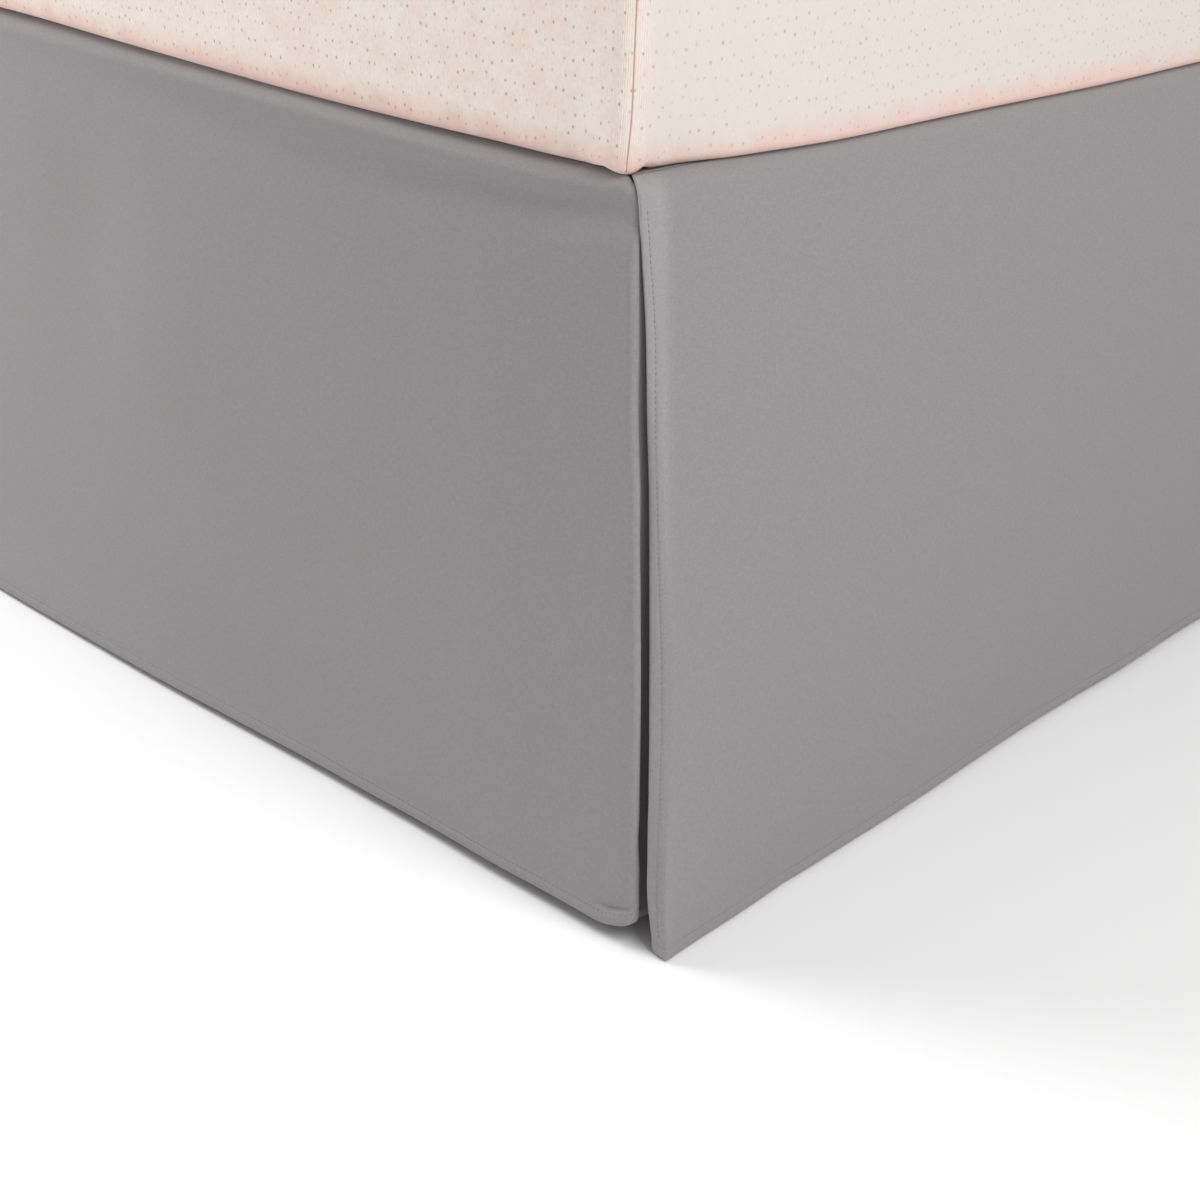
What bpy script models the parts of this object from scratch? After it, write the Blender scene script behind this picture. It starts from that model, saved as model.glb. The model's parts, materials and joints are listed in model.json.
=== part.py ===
"""Bed skirt on a queen bed: a platform sheet and three drops, split at the foot corners.

The bed is plain: a box spring on a steel frame, with its mattress on the platform sheet.
Metres, +Z up, floor at Z = 0, foot end at -Y, head end open at +Y.
"""

import math

import bmesh
import bpy
from mathutils import Vector

MM = 0.001
TOUCH = 0.0003  # left between pieces that meet

# Skirt cloth
CLOTH = 0.0015
HEM_CLOTH = 0.0022  # cloth turned twice and stitched
HEM_WIDTH = 0.007

# Planes in which the drops hang, and the platform sheet's upper face
SIDE_PLANE = 0.759
FOOT_PLANE = -1.0021
DECK_LENGTH = 2.024
DECK_TOP = 0.3825

# Seams: each drop leaves the platform in a small roll over the box spring's edge
SIDE_ROLL = 0.010
FOOT_ROLL = 0.009
FLAP_BACK = 0.0025  # from the foot drop to the flap that lies behind and under it
FLAP_ROLL = FOOT_ROLL - FLAP_BACK
FLAP_LENGTH = 0.110
FOLD_RADIUS = (0.006, 0.011)  # the side drop's turn at the corner, seam and hem
MITRE_RADIUS = 0.0015  # the least turn, where the rolls meet

# Bed
MATTRESS_SIZE = Vector((1.520, 2.031, 0.254))
MATTRESS_OVERHANG = 0.001
BOX_SPRING_INSET = 0.009
BOX_SPRING_SIZE = Vector((1.500, 2.011, 0.2287))
RAIL_WIDE = 0.025
RAIL_TALL = 0.040
RAIL_X = 0.690
RAIL_INSET = 0.030  # rail ends from the box spring's ends
LEG_RADIUS = 0.015
GLIDE_RADIUS = 0.021
GLIDE_TALL = 0.012
LEG_INSET = 0.120  # leg centres from the rail ends

SEAM_Z = DECK_TOP - CLOTH / 2
BOX_SPRING_TOP = DECK_TOP - CLOTH - TOUCH
HEAD_END = FOOT_PLANE + DECK_LENGTH

# How a side drop hangs, by distance from the foot corner, in millimetres
SIDE_HANG = {
    "along": (0, 30, 80, 120, 200, 340, 440, 560, 760, 1100, 1500, 2024),
    "flare": (-7.6, -6.4, -5.0, -4.8, -0.8, 6.2, 9.4, 12.2, 13.4, 8.0, 9.5, 5.0),
    "hem": (8.4, 8.6, 7.7, 7.0, 6.1, 4.8, 3.9, 2.8, 3.4, 4.6, 3.6, 5.0),
}

# How the foot drop hangs, by distance from the left corner, in millimetres
FOOT_HANG = {
    "along": (0, 80, 140, 210, 290, 340, 400, 460, 560, 800, 1200, 1518),
    "flare": (25.6, 20.4, 19.3, 16.9, 11.6, 8.8, 7.5, 7.6, 3.6, 2.0, 8.0, 20.0),
    "hem": (1.6, 2.1, 2.5, 2.9, 3.4, 3.7, 4.1, 4.4, 5.0, 5.2, 4.2, 2.4),
}

# The foot drop's side hem bends back round the corner: by height in millimetres, how far in
# the bend lies, how many degrees the hem turns back, and its width beyond the bend
FOOT_EDGE = {
    "height": (0, 30, 55, 100, 150, 200, 240, 270, 315, 350, 384),
    "bend": (13.0, 12.0, 13.4, 16.0, 17.5, 14.6, 12.6, 11.5, 11.0, 7.3, 3.5),
    "turn": (99, 89, 74, 56, 53, 62, 71, 65, 35, 27, 4),
    "width": (6.8, 8.2, 8.6, 8.8, 8.8, 6.8, 5.6, 5.4, 5.2, 4.4, 3.5),
}

# Soft swells (out) and hollows (negative) of the drops, in millimetres
SIDE_FORMS = (
    {"along": 98, "up": 200, "wide": 34, "tall": 260, "out": 1.6},
    {"along": 427, "up": 270, "wide": 45, "tall": 50, "out": -2.2},
    {"along": 363, "up": 240, "wide": 55, "tall": 60, "out": 1.8},
    {"along": 60, "up": 62, "wide": 60, "tall": 40, "out": -1.6},
    {"along": 24, "up": 345, "wide": 26, "tall": 24, "out": 1.4},
    {"along": 250, "up": 40, "wide": 90, "tall": 30, "out": -1.5},
    {"along": 760, "up": 180, "wide": 120, "tall": 150, "out": -3.0},
    {"along": 1120, "up": 150, "wide": 90, "tall": 200, "out": 2.6},
    {"along": 1500, "up": 200, "wide": 110, "tall": 180, "out": -2.4},
)
FOOT_FORMS = (
    {"along": 76, "up": 230, "wide": 28, "tall": 300, "out": 1.6},
    {"along": 310, "up": 280, "wide": 40, "tall": 160, "out": 1.4},
    {"along": 160, "up": 160, "wide": 60, "tall": 180, "out": -1.2},
    {"along": 520, "up": 120, "wide": 110, "tall": 150, "out": -2.2},
    {"along": 850, "up": 180, "wide": 90, "tall": 200, "out": 2.4},
    {"along": 1180, "up": 160, "wide": 100, "tall": 170, "out": -2.2},
)

# The hollow under a side drop's roll fades along the bed, in millimetres
ROLL_HOLLOW = {"down": 27, "tall": 12, "out": -2.4, "from": 150, "to": 470}

# Rows of a drop: roll angles in degrees, then shares of the way from the roll to the hem
ROLL_ANGLES = (0, 32, 62, 90)
FALL_SHARES = (0.03, 0.065, 0.10, 0.16, 0.25, 0.36, 0.48, 0.60, 0.72, 0.84, 0.93)
FOLD_COLUMNS = (-0.009, -0.006, -0.003, 0.0, 0.003, 0.006, 0.009)
FLAP_RISE = (0.004, 0.018)  # where the side drop's seam comes up from under the foot drop's
STRIP_SHARES = (1.0, 0.55, 0.22)  # across the foot drop's side hem, from its free edge
RIGHT_BEND = 0.8  # the right corner's bend against the left one's


def material(name, colour, roughness, metallic=0.0):
    made = bpy.data.materials.new(name)
    made.use_nodes = True
    surface = made.node_tree.nodes["Principled BSDF"]
    surface.inputs["Base Color"].default_value = (*colour, 1.0)
    surface.inputs["Roughness"].default_value = roughness
    surface.inputs["Metallic"].default_value = metallic
    return made


def add_piece(name, mesh_maker, finish):
    """Turns a bmesh into a named object with its material."""
    mesh = bpy.data.meshes.new(name)
    mesh_maker.to_mesh(mesh)
    mesh_maker.free()
    mesh.materials.append(finish)
    piece = bpy.data.objects.new(name, mesh)
    bpy.context.scene.collection.objects.link(piece)
    return piece


def ease(low, high, value):
    """0 below low, 1 above high, smooth between."""
    share = min(1.0, max(0.0, (value - low) / (high - low)))
    return share * share * (3 - 2 * share)


def read(table, key, column, value):
    """Reads a column at a value of the key column, on a smooth curve through the rows."""
    keys, values = table[key], table[column]
    value = min(keys[-1], max(keys[0], value))
    last = len(keys) - 1
    i = max(k for k in range(last) if keys[k] <= value)
    step = keys[i + 1] - keys[i]
    share = (value - keys[i]) / step

    def slope(k):
        low, high = max(k - 1, 0), min(k + 1, last)
        return (values[high] - values[low]) / (keys[high] - keys[low]) * step

    square, cube = share * share, share * share * share
    return (
        (2 * cube - 3 * square + 1) * values[i]
        + (cube - 2 * square + share) * slope(i)
        + (3 * square - 2 * cube) * values[i + 1]
        + (cube - square) * slope(i + 1)
    )


def forms_out(forms, along, height):
    """Sum of the soft swells and hollows at a place on a drop, in metres."""
    total = 0.0
    for form in forms:
        across = (along / MM - form["along"]) / form["wide"]
        up = (height / MM - form["up"]) / form["tall"]
        total += form["out"] * math.exp(-across * across - up * up)
    return total * MM


def side_out(along, height):
    """How far a side drop hangs outside its plane."""
    depth = (SEAM_Z - height) / SEAM_Z
    flare = read(SIDE_HANG, "along", "flare", along / MM) * MM * depth
    hollow = ROLL_HOLLOW
    below = ((SEAM_Z - height) / MM - hollow["down"]) / hollow["tall"]
    fade = 1 - ease(hollow["from"], hollow["to"], along / MM)
    near_seam = ease(0.0, 0.03, SEAM_Z - height)
    tucked = hollow["out"] * MM * fade * math.exp(-below * below)
    return flare + tucked + forms_out(SIDE_FORMS, along, height) * near_seam


def foot_out(along, height):
    """How far the foot drop hangs outside its plane."""
    depth = (SEAM_Z - height) / SEAM_Z
    near_seam = ease(0.0, 0.03, SEAM_Z - height)
    flare = read(FOOT_HANG, "along", "flare", along / MM) * MM * depth
    return flare + forms_out(FOOT_FORMS, along, height) * near_seam


def row_place(row, seam, roll, hem):
    """Height of a row of a drop, and how far in it lies on the roll."""
    if row < len(ROLL_ANGLES):
        angle = math.radians(ROLL_ANGLES[row])
        return seam - roll * (1 - math.cos(angle)), roll * (1 - math.sin(angle))
    fall = seam - roll
    shares = row - len(ROLL_ANGLES)
    if shares < len(FALL_SHARES):
        return fall + (hem - fall) * FALL_SHARES[shares], 0.0
    return (hem + HEM_WIDTH if shares == len(FALL_SHARES) else hem), 0.0


ROW_COUNT = len(ROLL_ANGLES) + len(FALL_SHARES) + 2


def side_point(column, row):
    """Mid-cloth point of a side drop, as distances in from its plane, along from the foot
    plane, and height. Column is the distance along the cloth from the corner's fold,
    negative on the flap that lies behind the foot drop."""
    seam = SEAM_Z - FLAP_BACK * (1 - ease(FLAP_RISE[0], FLAP_RISE[1], column))
    roll = FLAP_ROLL + (SIDE_ROLL - FLAP_ROLL) * ease(FLAP_RISE[0], 0.026, column)
    hem = read(SIDE_HANG, "along", "hem", max(column, 0.0) / MM) * MM
    height, inset = row_place(row, seam, roll, hem)
    depth = (SEAM_Z - height) / SEAM_Z
    radius = FOLD_RADIUS[0] + (FOLD_RADIUS[1] - FOLD_RADIUS[0]) * depth
    half_arc = math.pi * radius / 4
    inward = -side_out(max(column, FOLD_COLUMNS[-1]), height)
    along = FLAP_BACK
    reach = max(radius - inset, MITRE_RADIUS)
    beyond = max(0.0, abs(column) - half_arc)
    centre = radius + (inset + reach - radius) * (1 - ease(0.0, 0.03, beyond))
    if column >= half_arc:
        return inward + inset, along + centre + beyond, height
    if column <= -half_arc:
        return inward + centre + beyond, along + inset, height
    turn = (column + half_arc) / half_arc * math.pi / 4
    return (
        inward + centre - reach * math.sin(turn),
        along + centre - reach * math.cos(turn),
        height,
    )


def foot_bend(height, share):
    """How far in the foot drop's bend lies at a corner, how far the side hem turns back and
    its width. Share is how much of the left corner's bend that corner has."""
    at = height / MM
    bend_in = read(FOOT_EDGE, "height", "bend", at) * MM * share
    turn = math.radians(read(FOOT_EDGE, "height", "turn", at) * share)
    return bend_in, turn, read(FOOT_EDGE, "height", "width", at) * MM


def foot_point(column, row, width_shares):
    """Mid-cloth point of the foot drop, as distances right of the left corner, out from its
    plane, and height."""
    strip = len(STRIP_SHARES)
    last = 2 * strip + len(width_shares) - 1
    full = 2 * SIDE_PLANE
    on_right = column > last / 2
    from_edge = last - column if on_right else column
    inner = min(max(column - strip, 0), len(width_shares) - 1)
    across = width_shares[inner]
    hem = read(FOOT_HANG, "along", "hem", across * full / MM) * MM
    height, inset = row_place(row, SEAM_Z, FOOT_ROLL, hem)
    left_in, left_turn, left_width = foot_bend(height, 1.0)
    right_in, right_turn, right_width = foot_bend(height, RIGHT_BEND)
    along = left_in + (full - left_in - right_in) * across
    out = foot_out(along, height) - inset
    if from_edge < strip:
        turn, reach = (right_turn, right_width) if on_right else (left_turn, left_width)
        reach *= STRIP_SHARES[from_edge]
        sign = 1 if on_right else -1
        along += sign * reach * math.cos(turn)
        out -= reach * math.sin(turn)
    return along, out, height


def sheet(name, columns, point, thick_column, finish):
    """A drop as a grid of cloth, with its hems thicker than the rest."""
    maker = bmesh.new()
    bmesh.ops.create_grid(
        maker, x_segments=columns - 1, y_segments=ROW_COUNT - 1, size=1.0
    )
    weights = maker.verts.layers.deform.verify()
    for vertex in maker.verts:
        column = round((vertex.co.x + 1) / 2 * (columns - 1))
        row = round((1 - vertex.co.y) / 2 * (ROW_COUNT - 1))
        hemmed = row >= ROW_COUNT - 2 or (row > 0 and thick_column(column))
        vertex[weights][0] = 1.0 if hemmed else CLOTH / HEM_CLOTH
        vertex.co = point(column, row)
    bmesh.ops.recalc_face_normals(maker, faces=maker.faces)
    piece = add_piece(name, maker, finish)
    group = piece.vertex_groups.new(name="thickness")
    solid = piece.modifiers.new("cloth", "SOLIDIFY")
    solid.thickness = HEM_CLOTH
    solid.offset = 0.0
    solid.use_even_offset = True
    solid.vertex_group = group.name
    piece.data.shade_smooth()
    return piece


def graded(start, first, growth, longest, end):
    """Distances from start to end with steps that grow up to the longest."""
    places, step = [start], first
    while places[-1] + 1.5 * step < end:
        places.append(places[-1] + step)
        step = min(step * growth, longest)
    return [*places, end]


def side_drop(name, side, finish):
    """A side drop with its flap. Side is -1 for the left and 1 for the right."""
    flap = [-place for place in reversed(graded(0.014, 0.010, 1.7, 0.05, FLAP_LENGTH))]
    near = graded(0.014, 0.006, 1.35, 0.032, 0.620)
    far = graded(0.620, 0.050, 1.3, 0.110, DECK_LENGTH - FLAP_BACK)
    places = [*flap, *FOLD_COLUMNS, *near, *far[1:]]

    def point(column, row):
        inward, along, height = side_point(places[column], row)
        return Vector((side * (SIDE_PLANE - inward), FOOT_PLANE + along, height))

    def side_hem(column):
        return column in (0, len(places) - 1)

    return sheet(name, len(places), point, side_hem, finish)


def foot_drop(name, finish):
    left = graded(0.0, 0.0025, 1.8, 0.034, SIDE_PLANE)
    right = graded(0.0, 0.003, 2.0, 0.060, SIDE_PLANE)
    full = 2 * SIDE_PLANE
    shares = [place / full for place in left]
    shares += [1 - place / full for place in reversed(right[:-1])]
    strip = len(STRIP_SHARES)
    columns = 2 * strip + len(shares)

    def point(column, row):
        along, out, height = foot_point(column, row, shares)
        return Vector((along - SIDE_PLANE, FOOT_PLANE - out, height))

    def side_hem(column):
        return column < strip or column >= columns - strip

    return sheet(name, columns, point, side_hem, finish)


def deck(name, finish):
    """The platform sheet, cut to the seams."""
    half_width = SIDE_PLANE - SIDE_ROLL - 2 * TOUCH
    front = FOOT_PLANE + FOOT_ROLL + 2 * TOUCH
    maker = bmesh.new()
    bmesh.ops.create_cube(maker, size=1.0)
    size = Vector((2 * half_width, HEAD_END - front, CLOTH))
    bmesh.ops.scale(maker, vec=size, verts=maker.verts)
    middle = Vector((0, (HEAD_END + front) / 2, SEAM_Z))
    bmesh.ops.translate(maker, vec=middle, verts=maker.verts)
    return add_piece(name, maker, finish)


def soft_block(name, size, middle, upright, below, above, finish):
    """A block with rounded upright, lower and upper edges, each a radius in metres."""
    maker = bmesh.new()
    bmesh.ops.create_cube(maker, size=1.0)
    bmesh.ops.scale(maker, vec=size, verts=maker.verts)

    def edges_where(test):
        return [e for e in maker.edges if test(e.verts[0].co, e.verts[1].co)]

    def round_off(edges, radius, segments):
        bmesh.ops.bevel(
            maker, geom=edges, offset=radius, segments=segments, profile=0.5,
            affect="EDGES", material=-1,
        )

    round_off(edges_where(lambda a, b: abs(a.z - b.z) > size.z / 2), upright, 4)
    low, high = -size.z / 2 + MM, size.z / 2 - MM
    round_off(edges_where(lambda a, b: a.z < low and b.z < low), below, 4)
    round_off(edges_where(lambda a, b: a.z > high and b.z > high), above, 4)
    bmesh.ops.translate(maker, vec=middle, verts=maker.verts)
    piece = add_piece(name, maker, finish)
    piece.data.shade_smooth()
    return piece


def mattress(name, finish):
    front = FOOT_PLANE - MATTRESS_OVERHANG
    base = DECK_TOP + TOUCH
    middle = Vector((0, front + MATTRESS_SIZE.y / 2, base + MATTRESS_SIZE.z / 2))
    return soft_block(name, MATTRESS_SIZE, middle, 0.016, 0.006, 0.014, finish)


def box_spring(name, finish):
    front = FOOT_PLANE + BOX_SPRING_INSET
    size = BOX_SPRING_SIZE
    middle = Vector((0, front + size.y / 2, BOX_SPRING_TOP - size.z / 2))
    return soft_block(name, size, middle, 0.022, 0.010, 0.015, finish)


def bar(name, size, middle, finish):
    """A closed steel tube with softened edges."""
    maker = bmesh.new()
    bmesh.ops.create_cube(maker, size=1.0)
    bmesh.ops.scale(maker, vec=size, verts=maker.verts)
    bmesh.ops.bevel(
        maker, geom=maker.edges, offset=0.0025, segments=1, profile=0.5,
        affect="EDGES", material=-1,
    )
    bmesh.ops.translate(maker, vec=middle, verts=maker.verts)
    return add_piece(name, maker, finish)


def turned(name, radius, base, top, place, softened, finish):
    """A leg or glide: a short cylinder, its edges softened by that much."""
    maker = bmesh.new()
    bmesh.ops.create_cone(
        maker, cap_ends=True, segments=16, radius1=radius, radius2=radius,
        depth=top - base,
    )
    if softened:
        rims = [e for e in maker.edges if abs(e.verts[0].co.z - e.verts[1].co.z) < MM]
        bmesh.ops.bevel(
            maker, geom=rims, offset=softened, segments=2, profile=0.5,
            affect="EDGES", material=-1,
        )
    middle = Vector((place[0], place[1], (base + top) / 2))
    bmesh.ops.translate(maker, vec=middle, verts=maker.verts)
    piece = add_piece(name, maker, finish)
    piece.data.shade_smooth()
    piece.data.set_sharp_from_angle(angle=math.radians(40))
    return piece


def bed_frame(steel, plastic):
    """Two side rails, three cross rails and nine legs on glides."""
    rail_top = BOX_SPRING_TOP - BOX_SPRING_SIZE.z - TOUCH
    rail_z = rail_top - RAIL_TALL / 2
    front = FOOT_PLANE + BOX_SPRING_INSET + RAIL_INSET
    back = FOOT_PLANE + BOX_SPRING_INSET + BOX_SPRING_SIZE.y - RAIL_INSET
    length, middle_y = back - front, (back + front) / 2
    for name, x in (("rail_left", -RAIL_X), ("rail_right", RAIL_X)):
        bar(name, Vector((RAIL_WIDE, length, RAIL_TALL)), Vector((x, middle_y, rail_z)), steel)
    span = 2 * RAIL_X - RAIL_WIDE - 2 * TOUCH
    stations = (
        ("foot", front + LEG_INSET),
        ("middle", middle_y),
        ("head", back - LEG_INSET),
    )
    rail_base = rail_top - RAIL_TALL
    for station, y in stations:
        bar(f"rail_{station}", Vector((span, RAIL_WIDE, RAIL_TALL)), Vector((0, y, rail_z)), steel)
        for side, x in (("left", -RAIL_X), ("centre", 0.0), ("right", RAIL_X)):
            label = f"{station}_{side}"
            turned(f"glide_{label}", GLIDE_RADIUS, 0.0, GLIDE_TALL, (x, y), 0.002, plastic)
            leg_base, leg_top = GLIDE_TALL + TOUCH, rail_base - TOUCH
            turned(f"leg_{label}", LEG_RADIUS, leg_base, leg_top, (x, y), 0.0, steel)


def main():
    for old in list(bpy.data.objects):
        bpy.data.objects.remove(old)
    skirt_cloth = material("skirt_cloth", (0.31, 0.30, 0.30), 0.9)
    deck_cloth = material("deck_cloth", (0.31, 0.30, 0.30), 0.9)
    knit = material("mattress_knit", (0.80, 0.73, 0.67), 0.9)
    cover = material("box_spring_cover", (0.60, 0.58, 0.55), 0.9)
    steel = material("frame_steel", (0.05, 0.05, 0.05), 0.45, 0.0)
    plastic = material("glide_plastic", (0.03, 0.03, 0.03), 0.5)
    bed_frame(steel, plastic)
    box_spring("box_spring", cover)
    deck("deck", deck_cloth)
    side_drop("drop_left", -1, skirt_cloth)
    side_drop("drop_right", 1, skirt_cloth)
    foot_drop("drop_foot", skirt_cloth)
    mattress("mattress", knit)


main()
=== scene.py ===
import json
import math

import bmesh
import bpy
from mathutils import Matrix, Vector, noise

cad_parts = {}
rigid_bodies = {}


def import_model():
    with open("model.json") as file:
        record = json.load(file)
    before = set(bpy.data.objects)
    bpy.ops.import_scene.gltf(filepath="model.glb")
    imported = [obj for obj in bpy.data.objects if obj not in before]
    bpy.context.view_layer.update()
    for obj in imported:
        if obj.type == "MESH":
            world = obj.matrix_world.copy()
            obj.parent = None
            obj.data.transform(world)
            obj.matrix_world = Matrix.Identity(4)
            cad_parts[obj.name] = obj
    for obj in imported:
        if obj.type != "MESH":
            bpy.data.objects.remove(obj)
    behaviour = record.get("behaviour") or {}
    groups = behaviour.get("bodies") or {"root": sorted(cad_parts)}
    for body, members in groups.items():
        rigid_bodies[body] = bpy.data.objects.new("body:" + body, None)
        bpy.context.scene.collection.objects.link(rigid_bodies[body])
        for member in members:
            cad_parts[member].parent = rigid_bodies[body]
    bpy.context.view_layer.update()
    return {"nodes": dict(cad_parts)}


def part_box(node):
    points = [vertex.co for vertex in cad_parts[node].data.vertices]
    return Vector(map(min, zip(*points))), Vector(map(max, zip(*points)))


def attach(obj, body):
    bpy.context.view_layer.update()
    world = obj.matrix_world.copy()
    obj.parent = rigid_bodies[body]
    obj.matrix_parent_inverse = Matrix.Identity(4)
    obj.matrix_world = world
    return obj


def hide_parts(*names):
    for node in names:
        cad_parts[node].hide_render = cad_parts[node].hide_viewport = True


for old in list(bpy.data.objects):
    bpy.data.objects.remove(old)
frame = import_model()
mm = 0.001
print("frame loaded,", len(frame["nodes"]), "nodes")


# Small helpers

def ease(low, high, value):
    share = min(1.0, max(0.0, (value - low) / (high - low)))
    return share * share * (3 - 2 * share)


def bell(value):
    return math.exp(-value * value)


def readTable(table, column, value):  # smooth curve through a column, by the table's first one
    keys, values = next(iter(table.values())), table[column]
    value = min(keys[-1], max(keys[0], value))
    last = len(keys) - 1
    i = max(k for k in range(last) if keys[k] <= value)
    step = keys[i + 1] - keys[i]
    share = (value - keys[i]) / step

    def slope(k):
        low, high = max(k - 1, 0), min(k + 1, last)
        return (values[high] - values[low]) / (keys[high] - keys[low]) * step

    square, cube = share * share, share * share * share
    return (
        (2 * cube - 3 * square + 1) * values[i]
        + (cube - 2 * square + share) * slope(i)
        + (3 * square - 2 * cube) * values[i + 1]
        + (cube - square) * slope(i + 1)
    )


def gradedSteps(start, first, growth, longest, end):  # steps that grow up to the longest
    places, step = [start], first
    while places[-1] + 1.5 * step < end:
        places.append(places[-1] + step)
        step = min(step * growth, longest)
    return [*places, end]


def softNoise(x, y, seed):  # -1 to 1, the same at every run
    return noise.noise(Vector((x, y, seed * 7.3)))


def toLinear(hexColour):
    def channel(value):
        value /= 255
        return value / 12.92 if value <= 0.04045 else ((value + 0.055) / 1.055) ** 2.4

    return (*(channel(int(hexColour[i : i + 2], 16)) for i in (1, 3, 5)), 1.0)


def addNode(tree, kind, inputs=None, **settings):  # an input is a value or another node's socket
    node = tree.nodes.new("ShaderNode" + kind)
    for name, value in settings.items():
        setattr(node, name, value)
    for socket, value in (inputs or {}).items():
        if isinstance(value, bpy.types.NodeSocket):
            tree.links.new(value, node.inputs[socket])
        else:
            node.inputs[socket].default_value = value
    return node


def addMath(tree, operation, first, second):
    return addNode(tree, "Math", {0: first, 1: second}, operation=operation).outputs[0]


def addVectorMath(tree, operation, first, second):
    node = addNode(tree, "VectorMath", {0: first, 1: second}, operation=operation)
    return node.outputs["Vector"]


def addSteps(tree, place, wideMm, tallMm):  # a flat place, counted in steps of a real size
    scale = (1 / (wideMm * mm), 1 / (tallMm * mm), 1)
    return addNode(tree, "Mapping", {"Vector": place, "Scale": scale}).outputs["Vector"]


def addNoise(tree, place, scale, detail, roughness=0.5):
    inputs = {"Vector": place, "Scale": scale, "Detail": detail, "Roughness": roughness}
    return addNode(tree, "TexNoise", inputs).outputs["Fac"]


def addWaves(tree, place, pitchMm, distortion, direction):
    # a wave texture of scale 1 repeats every 0.314 m
    inputs = {"Vector": place, "Scale": 0.314 / (pitchMm * mm), "Distortion": distortion}
    node = addNode(tree, "TexWave", {**inputs, "Detail": 2.0}, bands_direction=direction)
    return node.outputs["Fac"]


def addRange(tree, value, start, end, low=0.0, high=1.0, interpolation="LINEAR"):
    inputs = {"Value": value, "From Min": start, "From Max": end, "To Min": low, "To Max": high}
    node = addNode(tree, "MapRange", inputs, interpolation_type=interpolation)
    return node.outputs["Result"]


def addMix(tree, factor, first, second):
    inputs = {"Factor": factor, "A": first, "B": second}
    return addNode(tree, "Mix", inputs, data_type="RGBA").outputs["Result"]


def addBump(tree, shader, height, strength, deepMm):
    inputs = {"Height": height, "Strength": strength, "Distance": deepMm * mm}
    bump = addNode(tree, "Bump", inputs)
    tree.links.new(bump.outputs["Normal"], shader.inputs["Normal"])


def startMaterial(name, values):
    made = bpy.data.materials.new(name)
    made.use_nodes = True
    shader = made.node_tree.nodes["Principled BSDF"]
    for socket, value in values.items():
        shader.inputs[socket].default_value = value
    return made, made.node_tree, shader


def newObject(name, data):
    made = bpy.data.objects.new(name, data)
    bpy.context.scene.collection.objects.link(made)
    return made


def newMesh(name, maker, finishes):
    mesh = bpy.data.meshes.new(name)
    maker.to_mesh(mesh)
    maker.free()
    for finish in finishes:
        mesh.materials.append(finish)
    return newObject(name, mesh)


def finishPiece(name, maker, finishes):
    piece = newMesh(name, maker, finishes)
    piece.data.shade_smooth()
    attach(piece, "root")
    return piece


# Materials

microfibre = {
    "colour": "#908c8d",
    "paler": "#959192",
    "deeper": "#8b8788",
    "threadMm": 1.1,  # coarser than real, so that it shows
    "threadWander": 1.6,
    "slubMm": (0.9, 3.4),  # a thick stretch of thread, wide and long
    "slubLevels": (0.75, 1.25),  # noise levels of the deepest and palest
    "reliefMm": 0.028,
    "shader": {
        "Roughness": 0.88,
        "Sheen Weight": 0.12,
        "Sheen Roughness": 0.5,
        "Specular IOR Level": 0.25,
    },
}
# painted highlight: the foot drop's side hems are drawn paler, more so higher up, where the turned
# hems catch the light
hemHighlightMicrofibre = {
    **microfibre,
    "sideHemHighlightMm": (12, 23),  # from the side: paler up to here, plain from here
    "hemHighlightGain": (1.05, 1.20),  # how much paler at the two heights below
    "hemHighlightUp": (0.13, 0.26),
}


# dyed polyester microfibre, plain weave, pressed: matt, even, a faint bloom at the edges
def dyedMicrofibre(name, values):
    finish, tree, shader = startMaterial(name, values["shader"])
    flat = addNode(tree, "UVMap", uv_map="cloth").outputs["UV"]
    wide, long = values["slubMm"]
    slubs = [
        addNoise(tree, addSteps(tree, flat, *size), 1.0, 3.0, 0.6)
        for size in ((wide, long), (long, wide))
    ]
    level = addRange(tree, addMath(tree, "ADD", *slubs), *values["slubLevels"])
    shade = addNode(tree, "ValToRGB", {"Fac": level})
    ramp = shade.color_ramp
    ramp.elements[0].color = toLinear(values["deeper"])
    ramp.elements[1].color = toLinear(values["paler"])
    ramp.elements.new(0.5).color = toLinear(values["colour"])
    tint = shade.outputs["Color"]
    # painted highlight: the side hems are drawn paler than the rest of the cloth
    if "sideHemHighlightMm" in values:
        spot = addNode(tree, "SeparateXYZ", {"Vector": flat}).outputs
        gain = addRange(tree, spot["Y"], *values["hemHighlightUp"], *values["hemHighlightGain"], "SMOOTHSTEP")
        within, gone = (size * mm for size in values["sideHemHighlightMm"])
        gain = addRange(tree, spot["X"], within, gone, gain, 1.0, "SMOOTHSTEP")
        lit = addNode(tree, "VectorMath", {0: tint, "Scale": gain}, operation="SCALE")
        tint = lit.outputs["Vector"]
    tree.links.new(tint, shader.inputs["Base Color"])
    waves = [
        addWaves(tree, flat, values["threadMm"], values["threadWander"], direction)
        for direction in ("X", "Y")
    ]
    weave = addMath(tree, "MULTIPLY", *waves)
    addBump(tree, shader, addMath(tree, "ADD", weave, level), 0.5, values["reliefMm"])
    return finish


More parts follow.
